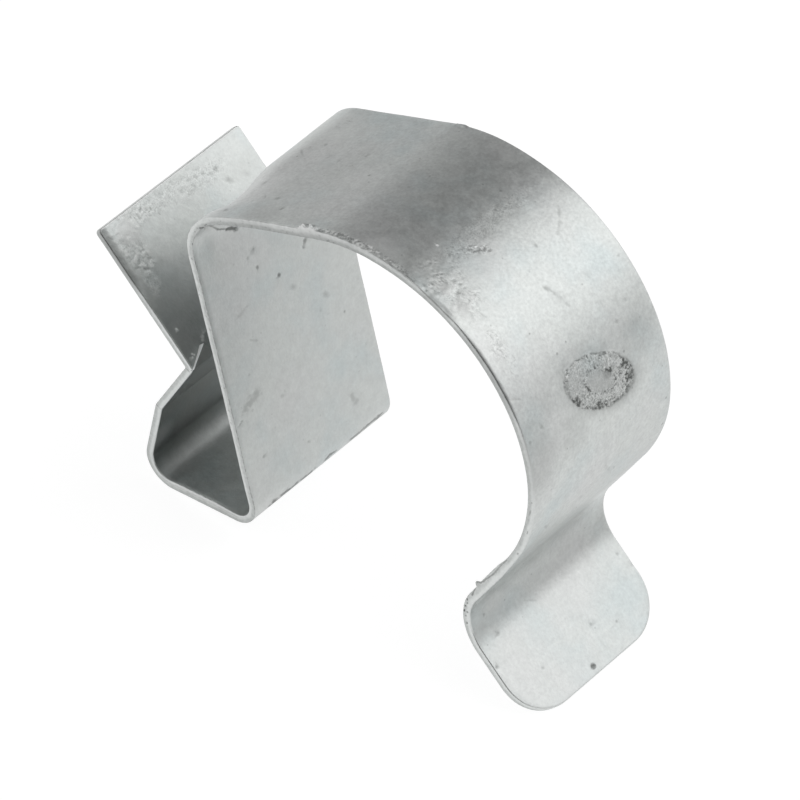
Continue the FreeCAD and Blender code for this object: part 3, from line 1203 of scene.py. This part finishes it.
class Nodes:
    """The nodes of a material or of the world, with short calls to add and link them."""

    def __init__(self, owner):
        owner.use_nodes = True
        self.owner = owner
        self.tree = owner.node_tree
        self.tree.nodes.clear()

    def add(self, kind, **inputs):
        """A node with its inputs set to values or linked to outputs. _1 is the input of that number."""
        node = self.tree.nodes.new(kind)
        for key, value in inputs.items():
            socket = node.inputs[int(key[1:]) if key[1:].isdigit() else key.replace("_", " ")]
            if isinstance(value, bpy.types.NodeSocket):
                self.tree.links.new(value, socket)
            else:
                socket.default_value = value
        return node

    def noise(self, place, scale, detail=3.0, roughness=0.5):
        node = self.add("ShaderNodeTexNoise", Vector=place, Scale=scale, Detail=detail, Roughness=roughness)
        return node.outputs["Fac"]

    def ramp(self, value, low, high, from_low=0.0, from_high=1.0, kind="LINEAR"):
        """The value spread from one range to another, and held at its ends."""
        node = self.add("ShaderNodeMapRange", Value=value, From_Min=from_low, From_Max=from_high)
        node.inputs["To Min"].default_value = low
        node.inputs["To Max"].default_value = high
        node.interpolation_type = kind
        return node.outputs["Result"]

    def colours(self, value, stops):
        node = self.add("ShaderNodeValToRGB", Fac=value)
        elements = node.color_ramp.elements
        while len(elements) < len(stops):
            elements.new(0.5)
        for element, (position, colour) in zip(elements, stops):
            element.position = position
            element.color = (*colour, 1.0)
        return node.outputs["Color"]

    def greys(self, value, *stops):
        return self.colours(value, [(position, (level, level, level)) for position, level in stops])

    def blend(self, share, first, second, kind="MIX"):
        node = self.add("ShaderNodeMixRGB", Fac=share, Color1=first, Color2=second)
        node.blend_type = kind
        return node.outputs["Color"]

    def math(self, operation, first, second):
        node = self.add("ShaderNodeMath", _0=first, _1=second)
        node.operation = operation
        return node.outputs[0]

    def attribute(self, name, output="Fac"):
        node = self.add("ShaderNodeAttribute")
        node.attribute_name = name
        return node.outputs[output]

    def bump(self, height, strength, distance, under=None):
        node = self.add("ShaderNodeBump", Height=height, Strength=strength, Distance=distance)
        if under is not None:
            self.tree.links.new(under, node.inputs["Normal"])
        return node.outputs["Normal"]

    def place(self):
        return self.add("ShaderNodeTexCoord").outputs["Object"]

    def specks(self, place, scale, reach, choice):
        """Round specks in the middle of some cells: where they fade out, and which cells have one."""
        cell = self.add("ShaderNodeTexVoronoi", Vector=place, Scale=scale)
        speck = self.ramp(cell.outputs["Distance"], 1.0, 0.0, *reach)
        chosen = self.ramp(cell.outputs["Color"], 0.0, 0.5, *choice)
        return self.math("MULTIPLY", speck, chosen)

    def mixed(self, share, first, second):
        """One shader or the other, by share."""
        return self.add("ShaderNodeMixShader", Fac=share, _1=first.outputs[0], _2=second.outputs[0])

    def seen_directly(self):
        """1 for what the camera sees, straight or in metal or glass, and 0 for rays that carry light."""
        path = self.add("ShaderNodeLightPath")
        either = self.math("MAXIMUM", path.outputs["Is Camera Ray"], path.outputs["Is Glossy Ray"])
        return self.math("MAXIMUM", either, path.outputs["Is Transmission Ray"])

    def finish(self, shader, output="ShaderNodeOutputMaterial"):
        """Link the shader to the output, and give back what owns the nodes."""
        self.add(output, Surface=shader.outputs[0])
        return self.owner

    def finish_surface(self, **looks):
        return self.finish(self.add("ShaderNodeBsdfPrincipled", **looks))


GRIME_AND_SHADE = (0.10, 0.105, 0.10, 1.0)
BARE_ZINC_AND_HIGHLIGHT = (0.86, 0.87, 0.86, 1.0)
PLATING_TINTS = [(0.3, (0.590, 0.634, 0.633)), (0.5, (0.628, 0.651, 0.641)), (0.7, (0.644, 0.664, 0.650))]
WARM_TINT = (0.641, 0.652, 0.646, 1.0)


def zinc_material():
    """Plated sheet: cloudy cold grey with mottling and specks, grime and painted shade in the pits, bare
    flakes and painted highlights, and painted light and shade along the strip.
    """
    nodes = Nodes(bpy.data.materials.new("zinc_plated_steel"))
    place = nodes.place()
    bare_and_highlight = nodes.attribute("bare_and_highlight")
    wear = nodes.attribute("wear")
    cloud = nodes.noise(place, 170.0, 3.0)
    drift = nodes.noise(place, 105.0, 2.0)
    mottle = nodes.noise(place, 900.0, 6.0, 0.62)
    speckle = nodes.noise(place, 3000.0, 3.0, 0.6)
    fleck = nodes.noise(place, 6500.0, 4.0, 0.65)
    colour = nodes.colours(cloud, PLATING_TINTS)
    colour = nodes.blend(nodes.ramp(drift, 0.0, 0.8, 0.48, 0.68), colour, WARM_TINT)
    colour = nodes.blend(1.0, colour, nodes.greys(mottle, (0.3, 0.92), (0.7, 1.06)), "MULTIPLY")
    colour = nodes.blend(wear, colour, nodes.greys(speckle, (0.3, 0.9), (0.7, 1.1)), "MULTIPLY")
    # Painted light and shade: the colour times the painted shading factor
    colour = nodes.blend(1.0, colour, nodes.attribute("painted_shading"), "MULTIPLY")
    flecks = nodes.greys(fleck, (0.38, 0.5), (0.5, 1.0), (0.62, 1.4))
    colour = nodes.blend(nodes.attribute("rough"), colour, flecks, "MULTIPLY")
    large_specks = nodes.specks(place, 420.0, (0.03, 0.09), (0.62, 0.8))
    small_specks = nodes.specks(place, 1000.0, (0.05, 0.13), (0.58, 0.85))
    dirt_and_shade = nodes.math("MAXIMUM", nodes.attribute("grime_and_shade"), large_specks)
    dirt_and_shade = nodes.math("MAXIMUM", dirt_and_shade, nodes.math("MULTIPLY", small_specks, wear))
    # Grime and painted shade darken the colour, and bare metal and painted highlights pale it
    colour = nodes.blend(dirt_and_shade, colour, GRIME_AND_SHADE)
    colour = nodes.blend(bare_and_highlight, colour, BARE_ZINC_AND_HIGHLIGHT)
    roughness = nodes.math("ADD", nodes.ramp(mottle, 0.38, 0.54), nodes.math("MULTIPLY", bare_and_highlight, 0.15))
    metal = nodes.ramp(bare_and_highlight, 1.0, 0.3)
    normal = nodes.bump(nodes.noise(place, 1500.0, 2.0), 0.25, 0.00005)
    normal = nodes.bump(nodes.noise(place, 3600.0, 3.0), 0.3, 0.00004, normal)
    return nodes.finish_surface(Base_Color=colour, Metallic=metal, Roughness=roughness, Normal=normal)


def sheared_material():
    """Cut edge of the strip: a burnished band next to the left face and a grainy break next to the right."""
    nodes = Nodes(bpy.data.materials.new("sheared_edge"))
    place = nodes.place()
    bare_and_highlight = nodes.attribute("bare_and_highlight")
    axes = nodes.add("ShaderNodeSeparateXYZ", _0=nodes.attribute("flat", "Vector"))
    offset = axes.outputs["Z"]
    grain = nodes.noise(place, 2600.0, 4.0, 0.6)
    wander = nodes.ramp(nodes.noise(place, 700.0, 2.0), -0.25, 0.25)
    burnished = nodes.ramp(nodes.math("ADD", offset, wander), 0.0, 1.0, -0.1, 0.12)
    broken = nodes.colours(grain, [(0.3, (0.53, 0.55, 0.54)), (0.7, (0.66, 0.68, 0.67))])
    bright = nodes.colours(grain, [(0.3, (0.63, 0.65, 0.64)), (0.7, (0.72, 0.74, 0.73))])
    # A darker broken line where the cut meets the right face
    boundary = nodes.ramp(offset, 0.4, 0.0, -0.39, -0.3)
    gaps = nodes.ramp(nodes.noise(place, 2000.0, 2.0), 0.0, 1.0, 0.45, 0.6)
    dirt_and_shade = nodes.math("MAXIMUM", nodes.attribute("grime_and_shade"), nodes.math("MULTIPLY", boundary, gaps))
    colour = nodes.blend(burnished, broken, bright)
    # Painted shade: the colour times the edge's painted shading factor
    colour = nodes.blend(1.0, colour, nodes.attribute("edge_painted_shading"), "MULTIPLY")
    # Grime and painted shade darken the edge, and bare metal and painted highlights pale it
    colour = nodes.blend(dirt_and_shade, colour, GRIME_AND_SHADE)
    colour = nodes.blend(bare_and_highlight, colour, BARE_ZINC_AND_HIGHLIGHT)
    metal = nodes.ramp(bare_and_highlight, 1.0, 0.3)
    roughness = nodes.ramp(burnished, 0.6, 0.42)
    normal = nodes.bump(grain, 0.2, 0.00006)
    return nodes.finish_surface(Base_Color=colour, Metallic=metal, Roughness=roughness, Normal=normal)


def shaded_tooth_material():
    """The plating on the teeth, darkened as painted shade."""
    nodes = Nodes(bpy.data.materials.new("tooth_zinc_painted_shade"))
    mottle = nodes.noise(nodes.place(), 900.0, 6.0, 0.62)
    colour = nodes.colours(mottle, [(0.3, (0.40, 0.41, 0.405)), (0.7, (0.47, 0.48, 0.475))])
    roughness = nodes.ramp(mottle, 0.4, 0.55)
    normal = nodes.bump(mottle, 0.3, 0.00005)
    return nodes.finish_surface(Base_Color=colour, Metallic=1.0, Roughness=roughness, Normal=normal)


def torn_highlight_material():
    """Fresh torn zinc on the teeth: rough and less of a mirror, and pale partly as bare metal and partly as
    a painted highlight.
    """
    nodes = Nodes(bpy.data.materials.new("torn_zinc_painted_highlight"))
    grain = nodes.noise(nodes.place(), 3000.0, 4.0, 0.6)
    colour = nodes.colours(grain, [(0.3, (0.82, 0.85, 0.84)), (0.6, (0.94, 0.97, 0.96))])
    normal = nodes.bump(grain, 0.5, 0.0001)
    return nodes.finish_surface(Base_Color=colour, Metallic=0.0, Roughness=0.5, Normal=normal)


# Stage: a floor that lights the clip with its paint, and that the camera sees as white with a faint shadow
FLOOR_SIZE = 3.0
FLOOR_PAINT = (0.8, 0.8, 0.8, 1.0)
FLOOR_SHADE = (0.22, 0.22, 0.22, 1.0)
FLOOR_GLOW = 0.89


def build_floor():
    half = FLOOR_SIZE / 2
    corners = [(-half, -half, 0), (half, -half, 0), (half, half, 0), (-half, half, 0)]
    mesh = bpy.data.meshes.new("floor")
    mesh.from_pydata(corners, [], [(0, 1, 2, 3)])
    nodes = Nodes(bpy.data.materials.new("pale_floor"))
    paint = nodes.add("ShaderNodeBsdfDiffuse", Color=FLOOR_PAINT)
    shade = nodes.add("ShaderNodeBsdfDiffuse", Color=FLOOR_SHADE)
    glow = nodes.add("ShaderNodeEmission", Strength=FLOOR_GLOW)
    white = nodes.add("ShaderNodeAddShader", _0=shade.outputs[0], _1=glow.outputs[0])
    mesh.materials.append(nodes.finish(nodes.mixed(nodes.seen_directly(), paint, white)))
    floor = new_object("floor", mesh)


# Brightness of the studio round the clip, by angle from the right (0) over the top (90) to the left (180).
# Behind the clip it is a broad softbox on the right, a dark ceiling beside it and a dim wall on the left.
# In front of the clip it is a dark room on the right and a pale wall on the left.
STUDIO_BACK = [
    (0, 0.07), (10, 0.51), (20, 0.91), (40, 1.37), (50, 1.61), (60, 1.73), (70, 1.62), (80, 1.30),
    (90, 0.83), (100, 0.35), (110, 0.08), (120, 0.08), (130, 0.23), (140, 0.35), (160, 0.38), (180, 0.71),
]
STUDIO_FRONT = [(0, 0.04), (30, 0.05), (60, 0.17), (90, 0.50), (120, 0.85), (150, 1.13), (180, 1.37)]
# Where the front of the studio passes into its back, by the part of a direction that lies along Y
STUDIO_JOIN = (-0.35, 0.25)
WHITE = (1.0, 1.0, 1.0, 1.0)


def build_world():
    world = bpy.data.worlds.new("studio")
    bpy.context.scene.world = world
    nodes = Nodes(world)
    direction = nodes.add("ShaderNodeTexCoord").outputs["Generated"]
    x, y, z = nodes.add("ShaderNodeSeparateXYZ", _0=direction).outputs
    share = nodes.math("DIVIDE", nodes.math("ARCTAN2", z, x), pi)
    front, back = (
        nodes.greys(share, *[(degrees_up / 180.0, level) for degrees_up, level in stops])
        for stops in (STUDIO_FRONT, STUDIO_BACK)
    )
    level = nodes.blend(nodes.ramp(y, 0.0, 1.0, *STUDIO_JOIN, "SMOOTHSTEP"), front, back)
    room = nodes.add("ShaderNodeBackground", Color=level)
    white = nodes.add("ShaderNodeBackground", Color=WHITE)
    seen = nodes.add("ShaderNodeLightPath").outputs["Is Camera Ray"]
    nodes.finish(nodes.mixed(seen, room, white), "ShaderNodeOutputWorld")


# The camera looks at the target, in millimetres, from an azimuth and elevation in degrees
CAMERA_TARGET = (-3.82, 7.55, 8.79)
CAMERA_AZIMUTH = 36.6486
CAMERA_ELEVATION = 46.0282
CAMERA_ROLL = 5.1138
CAMERA_DISTANCE = 707.876
CAMERA_LENS = 331.08
CAMERA_CLIP = (0.05, 20.0)


def build_camera():
    azimuth, elevation, roll = (radians(a) for a in (CAMERA_AZIMUTH, CAMERA_ELEVATION, CAMERA_ROLL))
    level = Vector((cos(azimuth), sin(azimuth), 0.0))
    back = Vector((sin(azimuth) * cos(elevation), -cos(azimuth) * cos(elevation), sin(elevation)))
    rise = back.cross(level)
    right = level * cos(roll) + rise * sin(roll)
    up = back.cross(right)
    data = bpy.data.cameras.new("camera")
    data.lens = CAMERA_LENS
    data.clip_start, data.clip_end = CAMERA_CLIP
    camera = new_object("camera", data)
    spot = (Vector(CAMERA_TARGET) + back * CAMERA_DISTANCE) * MM
    turn = Matrix((right, up, back)).transposed()
    camera.matrix_world = Matrix.Translation(spot) @ turn.to_4x4()
    bpy.context.scene.camera = camera


build_camera()
clip = build_clip()
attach(clip, "root")
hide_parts("clip_strip")
build_floor()
build_world()
bpy.context.scene.view_settings.view_transform = "Standard"
